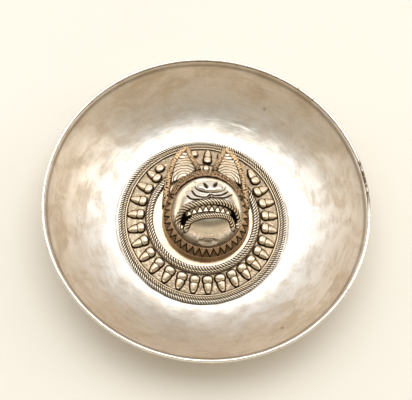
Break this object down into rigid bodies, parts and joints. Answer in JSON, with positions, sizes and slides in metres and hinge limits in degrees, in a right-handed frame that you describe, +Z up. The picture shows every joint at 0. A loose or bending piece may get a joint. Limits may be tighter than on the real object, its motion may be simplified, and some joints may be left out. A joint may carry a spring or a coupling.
{
  "type": "silver bowl",
  "caption": "Shallow raised silver bowl with a domed medallion on its floor, twisted-wire borders and an animal's head standing up in the middle, with gilt collar, brow and ear rims.",
  "frame": {"origin": "bottom centre of the box, on the flat base ring that the bowl stands on", "axes": "+Z up; the animal's ears point along +Y and its chin along -Y; +X is at the right of a viewer who faces along +Y"},
  "size_m": [0.2104, 0.2092, 0.0418],
  "materials": {
    "bowl_silver": "hammered and polished silver, warm tarnish towards the rim",
    "rim_silver": "planished silver wire, worn bright",
    "chased_silver": "embossed and chased silver, brown patina in the hollows",
    "cord_silver": "twisted silver wire, dark between the strands",
    "polished_silver": "smooth polished silver",
    "gilding": "worn reddish gilding, punched and hatched",
    "dark_silver": "blackened silver"
  },
  "bodies": {
    "root": {"bowl_shell": "bowl_silver", "rim_wire": "rim_silver", "medallion_plate": "chased_silver", "outer_cord_large": "cord_silver", "outer_cord_small": "cord_silver", "outer_plain_wire": "cord_silver", "inner_cord_large": "cord_silver", "inner_cord_small": "cord_silver", "neck_collar": "gilding", "brow_band": "gilding", "right_ear_panel": "chased_silver", "right_ear_rim": "gilding", "left_ear_panel": "chased_silver", "left_ear_rim": "gilding", "crown_bead": "chased_silver", "muzzle_shell": "polished_silver", "upper_lip": "cord_silver", "lower_lip": "cord_silver", "mouth_lining": "dark_silver", "upper_teeth": "chased_silver", "lower_teeth": "chased_silver", "nose_disc": "polished_silver"}
  },
  "joints": []
}
